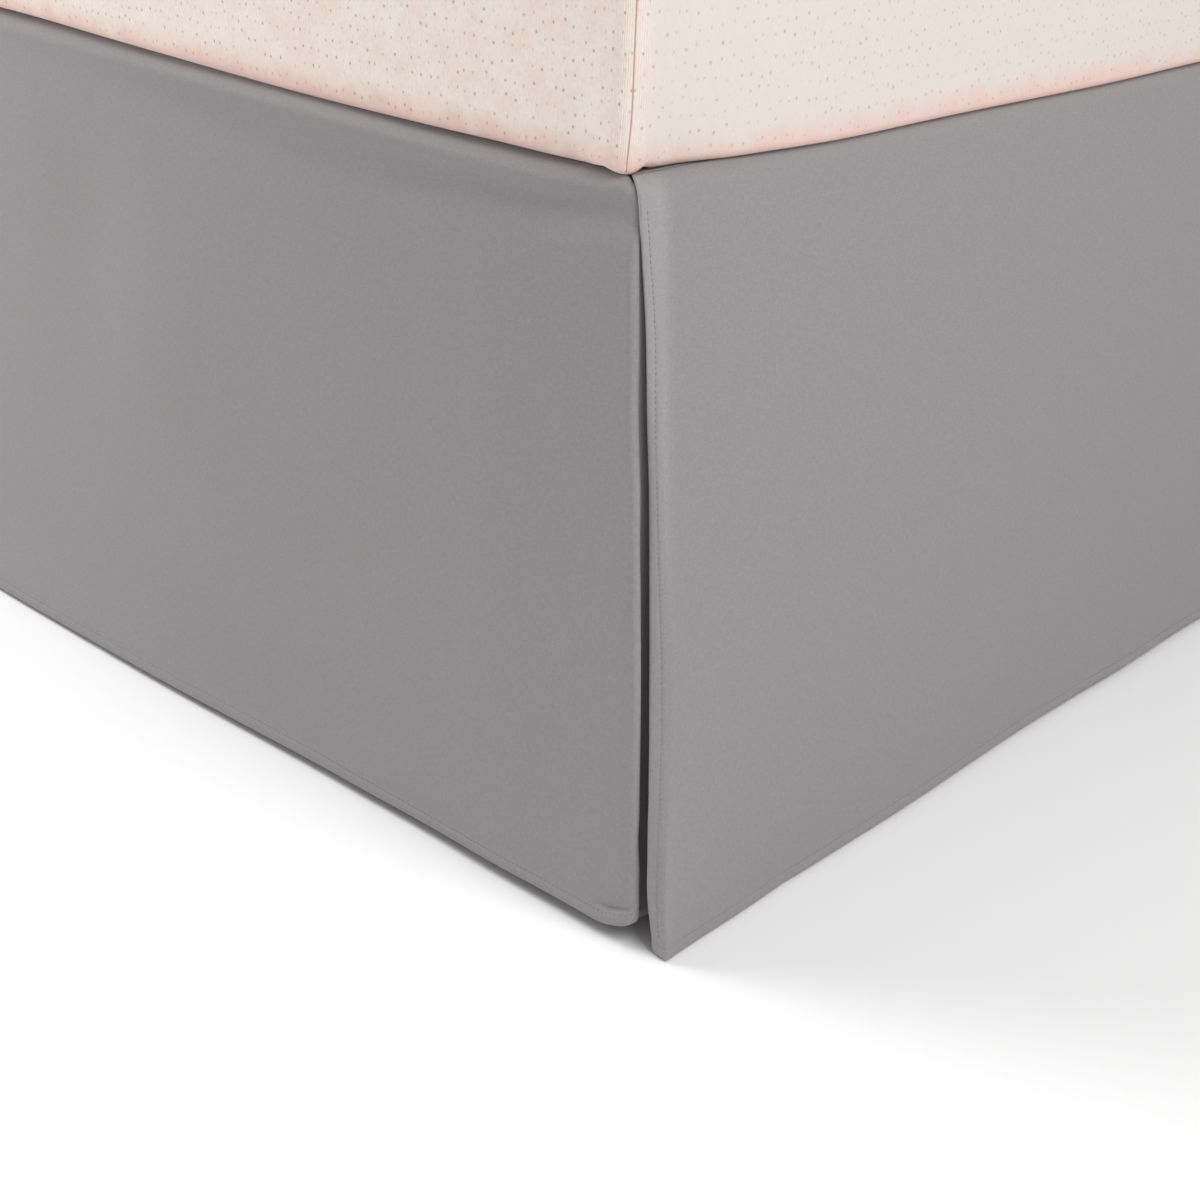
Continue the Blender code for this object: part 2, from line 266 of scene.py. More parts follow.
pinDotKnit = {
    "colour": "#efe6dc",
    "blush": "#ebd9ce",  # patches where the foam's colour comes through
    "blushLevels": (0.84, 1.20),  # noise levels where a patch starts and is full
    "edge": "#e1c0b6",  # drawn pinker and darker towards the lower edge
    "edgeMm": (-2.0, 15.0),  # over the base: full below, gone above
    "edgeUnevenMm": 5.0,
    "endPaintedShade": "#dbd2cc",  # painted shade: the end panel is drawn darker than the side
    "endPaintedShare": 0.9,
    "endDots": 0.75,  # its dots are drawn fainter
    "endTurnMm": (2.0, 11.0),  # from the corner: starts, is full
    "dot": "#c5a69c",
    "dotGapMm": (6.2, 7.2),
    "dotStray": 0.5,  # from even rows
    "dotShare": (0.03, 0.165),  # of a gap: a dot's bottom and its rim
    "dotLevels": (0.33, 0.62),  # noise levels of the faintest and fullest
    "dotFaintest": 0.12,
    "dotTall": 0.9,  # a dot's height against its width
    "dotDeepMm": 0.4,
    "waleMm": 1.3,
    "waleDeepMm": 0.09,
    "fleckMm": (1.6, 2.4),  # paler loops, wide and long
    "shader": {
        "Roughness": 0.92,
        "Sheen Weight": 0.15,
        "Sheen Roughness": 0.6,
        "Specular IOR Level": 0.2,
    },
}


# polyester mattress knit with pin-dot dimples, heat-set over foam: soft, warm, matt
def mattressKnit(name, values, lowCorner):
    finish, tree, shader = startMaterial(name, values["shader"])
    flat = addNode(tree, "UVMap", uv_map="cloth").outputs["UV"]
    solid = addNode(tree, "TexCoord").outputs["Object"]
    # cells keep the dots' spacing; the distance inside a cell is squeezed to draw them tall
    spread = addSteps(tree, flat, *values["dotGapMm"])
    spacing = {"Vector": spread, "Scale": 1.0, "Randomness": values["dotStray"]}
    cells = addNode(tree, "TexVoronoi", spacing, voronoi_dimensions="2D")
    away = addVectorMath(tree, "SUBTRACT", spread, cells.outputs["Position"])
    away = addVectorMath(tree, "MULTIPLY", away, (1.0, 1 / values["dotTall"], 0.0))
    reach = addNode(tree, "VectorMath", {0: away}, operation="LENGTH").outputs["Value"]
    dot = addRange(tree, reach, *values["dotShare"], 1.0, 0.0, "SMOOTHSTEP")
    uneven = addNoise(tree, flat, 110.0, 1.0)
    strength = addRange(tree, uneven, *values["dotLevels"], values["dotFaintest"])
    apart = addNode(tree, "SeparateXYZ", {"Vector": solid}).outputs
    onEnd = addRange(tree, apart["X"], *(lowCorner.x + far * mm for far in values["endTurnMm"]))
    endDots = addRange(tree, onEnd, 0.0, 1.0, 1.0, values["endDots"])
    dotSeen = addMath(tree, "MULTIPLY", dot, addMath(tree, "MULTIPLY", strength, endDots))
    patches = addNoise(tree, solid, 55.0, 4.0, 0.65)
    flecks = addNoise(tree, addSteps(tree, flat, *values["fleckMm"]), 1.0, 3.0, 0.6)
    patchShare = addRange(tree, addMath(tree, "ADD", patches, flecks), *values["blushLevels"])
    shade = addMix(tree, patchShare, toLinear(values["colour"]), toLinear(values["blush"]))
    # painted shade over the end panel, growing from the corner inwards
    endPaintedShare = addMath(tree, "MULTIPLY", onEnd, values["endPaintedShare"])
    shade = addMix(tree, endPaintedShare, shade, toLinear(values["endPaintedShade"]))
    wander = values["edgeUnevenMm"] * mm
    level = addMath(tree, "ADD", apart["Z"], addRange(tree, patches, 0.3, 0.7, -wander, wander))
    low, high = (lowCorner.z + height * mm for height in values["edgeMm"])
    edgeShare = addRange(tree, level, low, high, 1.0, 0.0, "SMOOTHSTEP")
    shade = addMix(tree, edgeShare, shade, toLinear(values["edge"]))
    shade = addMix(tree, dotSeen, shade, toLinear(values["dot"]))
    tree.links.new(shade, shader.inputs["Base Color"])
    loops = addMath(tree, "ADD", addWaves(tree, flat, values["waleMm"], 2.5, "X"), flecks)
    knit = addMath(tree, "MULTIPLY", loops, values["waleDeepMm"] / values["dotDeepMm"])
    addBump(tree, shader, addMath(tree, "SUBTRACT", knit, dotSeen), 0.8, values["dotDeepMm"])
    return finish


# one recipe for plain finishes: base colour mottled by a noise of real size, with its relief
def mottledFinish(name, pale, dark, grainMm, reliefMm, roughness, more=None):
    finish, tree, shader = startMaterial(name, {"Roughness": roughness, **(more or {})})
    solid = addNode(tree, "TexCoord").outputs["Object"]
    grain = addNoise(tree, solid, 1 / (grainMm * mm), 4.0)
    tone = addMix(tree, grain, toLinear(dark), toLinear(pale))
    tree.links.new(tone, shader.inputs["Base Color"])
    addBump(tree, shader, grain, 0.6, reliefMm)
    return finish


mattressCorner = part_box("mattress")[0]
mattressBase = mattressCorner.z
skirtCloth = dyedMicrofibre("dyedMicrofibre", microfibre)
deckCloth = dyedMicrofibre("platformMicrofibre", microfibre)
# the foot drop's cloth, with a painted highlight on its side hems
hemHighlightCloth = dyedMicrofibre("hemHighlightMicrofibre", hemHighlightMicrofibre)
knitCover = mattressKnit("pinDotKnit", pinDotKnit, mattressCorner)
# spun polyester sewing thread: a little paler and glossier than the cloth
thread = mottledFinish("polyesterThread", "#b4b0af", "#9d9999", 2.0, 0.05, 0.6)
# the foot drop's thread is drawn into the cloth and all but matches it
sunkThread = mottledFinish("sunkThread", "#979393", "#8b8788", 2.0, 0.05, 0.7)
# the same thread on the mattress cover, drawn into the seam, so it reads reddish
seamThread = mottledFinish("coverSeamThread", "#d1aea1", "#bc978a", 0.6, 0.05, 0.8)
# woven polypropylene ticking: off-white, slightly nubby
ticking = mottledFinish("wovenTicking", "#dcd8d0", "#cbc6bd", 0.8, 0.12, 0.9, {"Sheen Weight": 0.1})
# spunbond dust cover: dark, fibrous, no gloss
dustCover = mottledFinish("spunbondDustCover", "#3c3c3d", "#2a2a2b", 1.5, 0.15, 0.95)
# powder-coated steel tube: black with an orange-peel skin and a soft gloss
powderCoat = mottledFinish("powderCoatedSteel", "#262627", "#1d1d1e", 1.6, 0.06, 0.42)
# injection-moulded polypropylene: dull black, fine spark-eroded grain
mouldedPlastic = mottledFinish("mouldedPolypropylene", "#232323", "#1b1b1b", 0.5, 0.04, 0.55)
# zinc-plated screws: pale, even, with a metal's dull shine
zincPlate = mottledFinish("zincPlatedSteel", "#b9bab8", "#a2a3a2", 0.9, 0.02, 0.35, {"Metallic": 1.0})
print("materials made")


# The drops hang as their solids do, with finer creases, hems and stitches

skirt = {
    "sidePlane": 0.759,
    "footPlane": -1.0021,
    "deckLength": 2.024,
    "seamZ": 0.38175,
    "touch": 0.0003,
    "sideRoll": 0.010,
    "footRoll": 0.009,
    "flapRoll": 0.0065,
    "flapBack": 0.0025,
    "flapRise": (0.002, 0.009),  # from the corner, where the seam comes level
    "rollRise": (0.002, 0.026),  # and the roll grows to its full radius
    "flapLength": 0.110,
    "foldHold": 0.009,  # nearer the corner the drop keeps its shape
    "mitreRadius": 0.0008,
    "rollAngles": (0, 12, 24, 36, 48, 60, 70, 80, 90),
    "bodyRows": 84,
    # rows over the hem: height above its edge and the cloth's thickness there, in mm
    "hemUp": (15, 13, 12, 11, 10.2, 9.4, 8.5, 7.3, 6.9, 6.4, 5.9, 5.3, 4.2, 2.6, 1.0, 0.0),
    "hemThick": (0.9, 0.9, 0.9, 0.9, 0.9, 0.9, 0.9, 1.5, 1.5, 0.8, 1.5, 2.0, 2.1, 2.0, 1.8, 1.2),
    "clothMm": 0.9,
    "endMm": 1.5,
    "rollSettleMm": 8,  # below the seam, where the roll's swell is whole
    "softSettleMm": 30,  # and the soft forms are
}
sideHang = {
    "along": (0, 30, 80, 120, 200, 340, 440, 560, 760, 1100, 1500, 2024),
    "flare": (-7.6, -6.4, -5.0, -4.8, -0.8, 6.2, 9.4, 12.2, 13.4, 8.0, 9.5, 5.0),
}
sideHem = {  # the hem's height; it lifts where the cloth folds round the corner
    "along": (-25, -15, -6, -1, 5, 8, 14, 20, 30, 80, 120, 200, 340, 440, 560, 760, 1100, 1500, 2024),
    "hem": (8, 9, 13, 15, 12.1, 11.3, 9.3, 8.4, 8.5, 7.7, 7, 6.1, 4.8, 3.9, 2.8, 3.4, 4.6, 3.6, 5),
}
footHang = {
    "along": (0, 80, 140, 210, 290, 340, 400, 460, 560, 800, 1200, 1518),
    "flare": (25.6, 20.4, 19.3, 16.9, 11.6, 8.8, 7.5, 7.6, 3.6, 2.0, 8.0, 20.0),
    "hem": (1.6, 2.1, 2.5, 2.9, 3.4, 3.7, 4.1, 4.4, 5.0, 5.2, 4.2, 2.4),
}
footEdge = {  # the side hem: how far in it bends, by how many degrees, how wide it is
    "height": (0, 30, 55, 100, 150, 200, 240, 270, 315, 350, 384),
    "bend": (13.0, 12.0, 13.4, 16.0, 17.5, 14.6, 12.6, 11.5, 11.0, 7.3, 3.5),
    "turn": (99, 89, 74, 56, 53, 62, 71, 65, 35, 27, 4),
    "width": (6.8, 8.1, 7.4, 7.6, 8.1, 6.0, 4.7, 4.4, 4.7, 3.9, 3.5),
    "clear": 0.0025,
    "rollShare": 0.6,  # of the roll, that the bend moves in by
    "rightShare": 0.8,  # the right side hem bends less than the left one
    "softM": (0.0012, 0.0035),  # pressed sharp at the hem, and softer by this much higher up
    "softUp": (20, 110),
}
foldTurn = {  # the fold's radius, how far it leans out or sits back, how far it curls in before it
    "height": (0, 12, 20, 28, 54, 88, 142, 192, 241, 279, 314, 349, 368, 384),
    "radius": (5.0, 4.2, 3.4, 3.0, 2.6, 2.6, 2.6, 2.6, 2.6, 2.6, 2.6, 2.8, 3.4, 4.6),
    "lean": (6.7, 8.6, 9.7, 10.0, 9.0, 8.8, 8.1, 6.2, 4.4, 2.2, 1.4, 0.7, 0.3, 0),
    "back": (0, 0, 0, 0, 0, 0, 0, 0, 0.3, 0.8, 0.5, 0, 0, 0),
    "curl": (2.4, 2.4, 2.3, 2.2, 1.9, 1.6, 0.9, 0.6, 0.4, 0.2, 0, 0, 0, 0),
}
foldLaps = {"curlMm": 8.0, "slideM": 0.120, "mitreM": 0.030, "turnDeg": 55, "backMm": 4.0}
# soft swells and hollows: where, how wide and tall, how far out, in mm
sideForms = (
    (98, 200, 34, 260, 1.6), (427, 270, 45, 50, -3.4), (363, 232, 60, 64, 3.0),
    (205, 148, 46, 40, -1.6), (60, 62, 60, 40, -1.6), (24, 345, 26, 24, 1.4),
    (250, 40, 90, 30, -1.5), (760, 180, 120, 150, -3.0), (1120, 150, 90, 200, 2.6),
    (1500, 200, 110, 180, -2.4),
)
footForms = (
    (76, 230, 28, 300, 1.6), (310, 280, 40, 160, 1.4), (160, 160, 60, 180, -1.2),
    (520, 120, 110, 150, -2.2), (850, 180, 90, 200, 2.4), (1180, 160, 100, 170, -2.2),
)
# the hem's stitches draw the fold in just above them; heights here are over the hem
foldDents = ((11, 9.8, 9, 1.8, 2.0), (12, 13, 14, 4, 0.8))
# creases: from and to (along, up), width across, how far out, in mm
sideCreases = (
    ((106, 330), (114, 110), 7, -0.5), ((84, 70), (8, 44), 7, -0.7),
    ((70, 84), (2, 62), 6, 0.5), ((60, 300), (12, 220), 10, 0.5),
    ((210, 60), (70, 30), 9, -0.6), ((470, 300), (380, 215), 20, 0.7),
    ((330, 190), (250, 120), 22, -0.4),
)
footCreases = (
    ((90, 372), (98, 60), 6, 0.45), ((312, 372), (329, 262), 4, 0.5),
    ((226, 366), (236, 305), 6, -0.4), ((247, 160), (262, 120), 7, 0.5),
    ((30, 80), (90, 30), 6, 0.5), ((34, 60), (110, 4), 6, -0.5),
    ((40, 110), (120, 60), 8, 0.4),
)
creaseEnd = 2.2  # a crease's ends fade over this many of its widths
rollHollow = {  # the swell of a side drop's roll and the trough under it
    "along": (0, 20, 50, 120, 190, 270, 330, 470, 2024),
    "down": (13, 14, 18, 24, 28, 25, 20, 18, 18),
    "out": (-3.8, -3.6, -3.1, -2.7, -2.2, -1.6, -0.9, -0.1, 0.0),
    "tall": 9,
    "swell": (1.2, 2.4, 3.6, 4.2, 4.0, 3.4, 2.6, 1.4, 0.8),
    "swellDown": 8,
    "swellTall": 6,
}
hemKick = {  # the foot of a side drop turns out again, and the cloth above it sits back
    "along": (0, 150, 220, 300, 400, 520, 700, 1400, 2024),
    "out": (0, 0, 1.6, 3.6, 6.0, 8.4, 7.0, 3.6, 2.4),
    "tall": (9, 9, 11, 17, 27, 37, 40, 40, 40),
}
# cloth that has been folded is uneven: lengths along and up, how far out, in mm
unevenness = ((150, 190, 0.55), (34, 60, 0.12))
puckers = {  # small gathers at the seam and over the hem
    "along": 7.5,
    "out": 0.10,
    "seam": (384, 9),  # where, and how tall
    "hem": (11, 5),
    "hemShare": 0.8,
}


def formsOut(forms, along, up):
    total = 0.0
    for atAlong, atUp, wide, tall, out in forms:
        across, over = (along - atAlong) / wide, (up - atUp) / tall
        if abs(across) < 3 and abs(over) < 3:
            total += out * math.exp(-across * across - over * over)
    return total


def creasesOut(creases, along, up):
    total = 0.0
    for (startA, startU), (endA, endU), wide, out in creases:
        runA, runU = endA - startA, endU - startU
        length = math.hypot(runA, runU)
        share = ((along - startA) * runA + (up - startU) * runU) / length / length
        beyond = max(0.0, -share, share - 1) * length
        off = ((along - startA) * runU - (up - startU) * runA) / length / wide
        end = beyond / wide / creaseEnd
        if abs(off) < 3 and end < 3:
            total += out * math.exp(-off * off - end * end)
    return total


def unevenOut(along, up, seed):
    total = 0.0
    for i, (wide, tall, out) in enumerate(unevenness):
        total += softNoise(along / wide, up / tall, seed + i) * out
    gather = bell((up - puckers["seam"][0]) / puckers["seam"][1])
    gather += puckers["hemShare"] * bell((up - puckers["hem"][0]) / puckers["hem"][1])
    return total + softNoise(along / puckers["along"], seed + 2, 0) * puckers["out"] * gather


def panelOut(hang, forms, creases, seed, a, up, down):
    soft = formsOut(forms, a, up) + creasesOut(creases, a, up) + unevenOut(a, up, seed)
    flare = readTable(hang, "flare", a) * down * mm / skirt["seamZ"]
    return flare + soft * ease(0, skirt["softSettleMm"], down)


def footOut(along, height):
    down = (skirt["seamZ"] - height) / mm
    return panelOut(footHang, footForms, footCreases, 5, along / mm, height / mm, down) * mm


def sideOut(along, height):
    a, up, down = along / mm, height / mm, (skirt["seamZ"] - height) / mm
    out = panelOut(sideHang, sideForms, sideCreases, 1, a, up, down)
    kick = bell(up / readTable(hemKick, "tall", a)) - down * mm / skirt["seamZ"]
    trough = bell((down - readTable(rollHollow, "down", a)) / rollHollow["tall"])
    tucked = readTable(rollHollow, "out", a) * trough
    swell = bell((down - rollHollow["swellDown"]) / rollHollow["swellTall"])
    tucked += readTable(rollHollow, "swell", a) * swell
    tucked *= ease(0, skirt["rollSettleMm"], down)
    return (out + readTable(hemKick, "out", a) * kick + tucked) * mm


def rowSpots(seam, roll, hem):  # (height, inset, thickness in mm) of each row, from the seam down
    spots = []
    for angle in skirt["rollAngles"]:
        turn = math.radians(angle)
        spots.append((seam - roll * (1 - math.cos(turn)), roll * (1 - math.sin(turn)), None))
    fall, count = seam - roll, skirt["bodyRows"]
    hemTop = hem + skirt["hemUp"][0] * mm
    for row in range(1, count):
        spots.append((fall + (hemTop - fall) * row / count, 0.0, None))
    for up, thick in zip(skirt["hemUp"], skirt["hemThick"]):
        spots.append((hem + up * mm, 0.0, thick))
    return spots


rowCount = len(rowSpots(1.0, 0.0, 0.0))


def sideRollAt(place):
    grown = skirt["sideRoll"] - skirt["flapRoll"]
    return skirt["flapRoll"] + grown * ease(*skirt["rollRise"], place)


def sideSpots(place):
    seam = skirt["seamZ"] - skirt["flapBack"] * (1 - ease(*skirt["flapRise"], place))
    return rowSpots(seam, sideRollAt(place), readTable(sideHem, "hem", place / mm) * mm)


def foldPath(gone, radius, lean, heading):
    # past the start of the fold: on to the right and forward of there. The cloth turns round,
    # runs back behind the foot drop and straightens
    easy = foldLaps["backMm"] * mm
    most = math.acos(max(-1.0, 1 - lean / (radius + easy)))
    extra = min(math.radians(foldLaps["turnDeg"]), most)
    arc = radius * (math.pi / 2 + extra - heading)
    turned = heading + min(gone, arc) / radius
    x = radius * (math.cos(heading) - math.cos(turned))
    y = radius * (math.sin(turned) - math.sin(heading))
    gone -= arc
    if gone <= 0:
        return x, y
    atEnd = lean - radius + y  # still to fall back
    straight = max(0.0, atEnd - easy * (1 - math.cos(extra))) / max(math.sin(extra), 1e-6)
    run = min(gone, straight)
    x += run * math.cos(extra)
    y -= run * math.sin(extra)
    gone -= run
    left = extra - min(gone, easy * extra) / easy
    x += easy * (math.sin(extra) - math.sin(left))
    y -= easy * (math.cos(left) - math.cos(extra))
    return x + max(0.0, gone - easy * extra), y


def sideAt(place, height, inset):  # inward from the side plane, along from the foot plane, up
    radius, lean, curl, slidBack = (
        readTable(foldTurn, column, height / mm) * mm
        for column in ("radius", "lean", "curl", "back")
    )
    halfArc = math.pi * radius / 4
    inward = -sideOut(max(place, skirt["foldHold"]), height)
    back = skirt["flapBack"]
    if inset > 0 or lean <= 0:
        reach = max(radius - inset, skirt["mitreRadius"])
        beyond = max(0.0, abs(place) - halfArc)
        shrunk = 1 - ease(0.0, foldLaps["mitreM"], beyond)
        centre = radius + (inset + reach - radius) * shrunk
        if place >= halfArc:
            return inward + inset, back + centre + beyond, height
        if place <= -halfArc:
            return inward + centre + beyond, back + inset, height
        turn = (place + halfArc) / halfArc * math.pi / 4
        return (
            inward + centre - reach * math.sin(turn),
            back + centre - reach * math.cos(turn),
            height,
        )
    curlRun = foldLaps["curlMm"] * mm
    beyond = max(0.0, place - halfArc)
    slid = (lean - slidBack) * (1 - ease(0.0, foldLaps["slideM"], beyond))
    lift = height / mm - readTable(sideHem, "hem", place / mm)
    inward += curl * max(0.0, 1 - beyond / curlRun) ** 2
    inward += formsOut(foldDents, place / mm, lift) * mm
    along = back + radius + beyond - slid
    if place < halfArc:
        right, forward = foldPath(halfArc - place, radius, lean, math.atan(2 * curl / curlRun))
        inward, along = inward + right, along - forward
    return inward, along, height


def bendRun(turn, length, soft):  # a strip that turns at its root: how far on, how far back
    on = back = 0.0
    steps = 10
    for step in range(steps):
        gone = (step + 0.5) / steps * length
        angle = turn * ease(-soft, soft, gone)
        on += math.cos(angle) * length / steps
        back += math.sin(angle) * length / steps
    return on, back


def footAt(share, beyond, height, inset, onRight):
    # share: across the flat part, from the left bend to the right one
    # beyond: share of the side hem past the bend, 0 on the flat part
    full = 2 * skirt["sidePlane"]
    up = height / mm
    bend, width, turn = (readTable(footEdge, name, up) for name in ("bend", "width", "turn"))
    bendIn = bend * mm + footEdge["clear"] + footEdge["rollShare"] * inset
    along = bendIn + (full - (1 + footEdge["rightShare"]) * bendIn) * share
    out = footOut(along, height) - inset
    if beyond > 0:
        sharp, softer = footEdge["softM"]
        soft = sharp + softer * ease(*footEdge["softUp"], up)
        turn = math.radians(turn) * (footEdge["rightShare"] if onRight else 1.0)
        on, back = bendRun(turn, (width * mm + footEdge["clear"]) * beyond, soft)
        along += on if onRight else -on
        out -= back
    return along, out, height


def cutGrid(columnCount, rowCount):
    maker = bmesh.new()
    bmesh.ops.create_grid(maker, x_segments=columnCount - 1, y_segments=rowCount - 1, size=1.0)
    return maker, maker.loops.layers.uv.new("cloth")


def gridSpots(maker, columnCount, rowCount):
    for vertex in maker.verts:
        column = round((vertex.co.x + 1) / 2 * (columnCount - 1))
        row = round((vertex.co.y + 1) / 2 * (rowCount - 1))
        yield vertex, column, row


def thicken(piece, thickMm):
    solid = piece.modifiers.new("cloth", "SOLIDIFY")
    solid.thickness = thickMm * mm
    solid.offset = 0.0
    return solid


def clothSheet(name, columnCount, spotAt, finish):
    # spotAt(column, row) gives the mid-cloth point, the thickness in mm and the flat place
    maker, cloth = cutGrid(columnCount, rowCount)
    weights = maker.verts.layers.deform.verify()
    flatPlace = {}
    thickest = max(skirt["hemThick"])
    for vertex, column, row in gridSpots(maker, columnCount, rowCount):
        point, thick, flat = spotAt(column, rowCount - 1 - row)
        vertex.co = point
        vertex[weights][0] = thick / thickest
        flatPlace[vertex] = flat
    for face in maker.faces:
        for loop in face.loops:
            loop[cloth].uv = flatPlace[loop.vert]
    bmesh.ops.recalc_face_normals(maker, faces=maker.faces)
    piece = finishPiece(name, maker, [finish])
    group = piece.vertex_groups.new(name="thickness")
    solid = thicken(piece, thickest)
    solid.use_even_offset = True
    solid.vertex_group = group.name
    return piece


stitches = {
    "longMm": 1.7,
    "thickMm": 0.5,
    "pitchMm": 2.6,
    "proudMm": 0.08,
    "upMm": 6.4,  # over the hem's edge
    "faceMm": 0.48,  # from the middle of the cloth to its face
    "feelM": 0.0008,  # how far to either side the cloth's slope is taken
    "side": (0.44, 0.03, 0.50),  # place and feel in widths of the side hem, and face in mm
    "endM": 0.012,  # from a corner or the seam to the first stitch
    "footEndM": 0.016,
    "flapM": 0.100,
}


def stitchLine(maker, surfaceAt, start, end):
    # surfaceAt(distance) gives a point on the cloth's face and the way out from it
    count = int((end - start) / (stitches["pitchMm"] * mm))
    long, thick = stitches["longMm"] * mm / 2, stitches["thickMm"] * mm / 2
    for i in range(count):
        middle = start + (end - start) * (i + 0.5) / count
        point, outward = surfaceAt(middle)
        ahead = surfaceAt(middle + 0.5 * mm)[0] - point
        across = outward.cross(ahead).normalized()
        turn = Matrix((ahead.normalized(), across, outward)).transposed().to_4x4()
        size = Matrix.Diagonal((long, thick, thick, 1))
        seat = Matrix.Translation(point + outward * stitches["proudMm"] * mm)
        bmesh.ops.create_icosphere(maker, subdivisions=1, radius=1.0, matrix=seat @ turn @ size)


def faceSpot(pointAt, a, feelA, faceMm, sign):
    # on the cloth's face and the way out from it; pointAt(a, b) is in the middle of the cloth
    feel = stitches["feelM"]
    alongWay = pointAt(a + feelA, 0.0) - pointAt(a - feelA, 0.0)
    upWay = pointAt(a, feel) - pointAt(a, -feel)
    outward = alongWay.cross(upWay).normalized() * sign
    return pointAt(a, 0.0) + outward * faceMm * mm, outward


def hemLine(pointOn, hems, sign):  # where the row over a hem runs, by the distance along it
    def surfaceAt(place):
        def pointAt(a, b):
            return pointOn(a, (readTable(hems, "hem", a / mm) + stitches["upMm"]) * mm + b)

        return faceSpot(pointAt, place, stitches["feelM"], stitches["faceMm"], sign)

    return surfaceAt


# runs of a side drop's columns: start, first step, growth, longest step, end
sideColumns = {
    "near": (0.0135, 0.0022, 1.06, 0.0055, 0.620),
    "far": (0.620, 0.006, 1.08, 0.016, skirt["deckLength"] - skirt["flapBack"]),
    "flap": (0.0135, 0.003, 1.15, 0.012, skirt["flapLength"]),
    "fold": (0.012, 0.0105, 0.009, 0.0075, 0.006, 0.0045, 0.003, 0.00225, 0.0015, 0.00075),
}


def sideDrop(label, side):
    near, far, flap = (gradedSteps(*sideColumns[run]) for run in ("near", "far", "flap"))
    behind = [*reversed(flap), *sideColumns["fold"]]
    places = [-place for place in behind] + [0.0, *reversed(sideColumns["fold"]), *near, *far[1:]]
    columns = [sideSpots(place) for place in places]
    last = len(places) - 1

    def toFrame(place, height, inset=0.0):
        inward, along, up = sideAt(place, height, inset)
        return Vector((side * (skirt["sidePlane"] - inward), skirt["footPlane"] + along, up))

    def spotAt(column, row):
        height, inset, thick = columns[column][row]
        if thick is None:
            thick = skirt["endMm"] if column in (0, last) and row > 1 else skirt["clothMm"]
        flat = (places[column], height + inset)
        return toFrame(places[column], height, inset), thick, flat

    piece = clothSheet("skirt_drop_" + label, len(places), spotAt, skirtCloth)
    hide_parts("drop_" + label)

    maker = bmesh.new()
    end = skirt["deckLength"] - stitches["endM"]
    stitchLine(maker, hemLine(toFrame, sideHem, side), -stitches["flapM"], end)
    row = finishPiece("hem_stitches_" + label, maker, [thread])


footColumns = {
    "left": (0.0, 0.0015, 1.09, 0.0055, skirt["sidePlane"]),
    "right": (0.0, 0.002, 1.12, 0.009, skirt["sidePlane"]),
    # shares of the side hem's width, and the cloth's thickness there in mm
    "strip": (1.0, 0.93, 0.84, 0.74, 0.64, 0.54, 0.44, 0.34, 0.25, 0.16, 0.08),
    "stripThick": (1.2, 1.7, 1.9, 1.9, 1.8, 1.5, 0.9, 1.3, 0.95, 0.9, 0.9),
    "stripWide": 0.009,
}


def footDrop():
    full = 2 * skirt["sidePlane"]
    shares = [place / full for place in gradedSteps(*footColumns["left"])]
    right = gradedSteps(*footColumns["right"])[:-1]
    shares += [1 - place / full for place in reversed(right)]
    strip = list(zip(footColumns["strip"], footColumns["stripThick"]))
    columns = [(0.0, beyond, False, thick) for beyond, thick in strip]
    columns += [(share, 0.0, False, None) for share in shares]
    columns += [(1.0, beyond, True, thick) for beyond, thick in reversed(strip)]

    def toFrame(share, beyond, height, inset, onRight):
        along, out, up = footAt(share, beyond, height, inset, onRight)
        return Vector((along - skirt["sidePlane"], skirt["footPlane"] - out, up))

    def spotAt(column, row):
        share, beyond, onRight, sideThick = columns[column]
        hem = readTable(footHang, "hem", share * full / mm) * mm
        height, inset, thick = rowSpots(skirt["seamZ"], skirt["footRoll"], hem)[row]
        point = toFrame(share, beyond, height, inset, onRight)
        if row > 1 and sideThick:
            thick = max(thick or 0.0, sideThick)
        past = footColumns["stripWide"] * beyond
        flat = (point.x + skirt["sidePlane"] + (past if onRight else -past), height + inset)
        return point, thick or skirt["clothMm"], flat

    # its side hems carry the painted highlight
    piece = clothSheet("skirt_drop_foot", len(columns), spotAt, hemHighlightCloth)
    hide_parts("drop_foot")

    def flatPoint(a, height):
        return Vector((a - skirt["sidePlane"], skirt["footPlane"] - footOut(a, height), height))

    def sideLine(onRight):
        def surfaceAt(height):
            def pointAt(a, b):
                return toFrame(float(onRight), a, height + b, 0.0, onRight)

            return faceSpot(pointAt, *stitches["side"], 1 if onRight else -1)

        return surfaceAt

    maker = bmesh.new()
    end = stitches["footEndM"]
    stitchLine(maker, hemLine(flatPoint, footHang, 1), end, full - end)
    for onRight in (False, True):
        stitchLine(maker, sideLine(onRight), stitches["endM"], skirt["seamZ"] - stitches["endM"])
    row = finishPiece("hem_stitches_foot", maker, [sunkThread])


sideDrop("left", -1)
sideDrop("right", 1)
footDrop()
print("drops hung")


# The platform sheet is cut to the drops' seams, so it widens to the corners

deckCut = {
    "thickMm": 0.9,
    "liftMm": 0.12,
    "liftsPerM": 14,
    "settlesPerM": 12,  # how fast its unevenness grows from its edges
    "across": (0.0, 0.002, 1.35, 0.03, 0.5),
    "alongSteps": (0.0, 0.002, 1.3, 0.03),
    "cornerBack": 0.006,
}


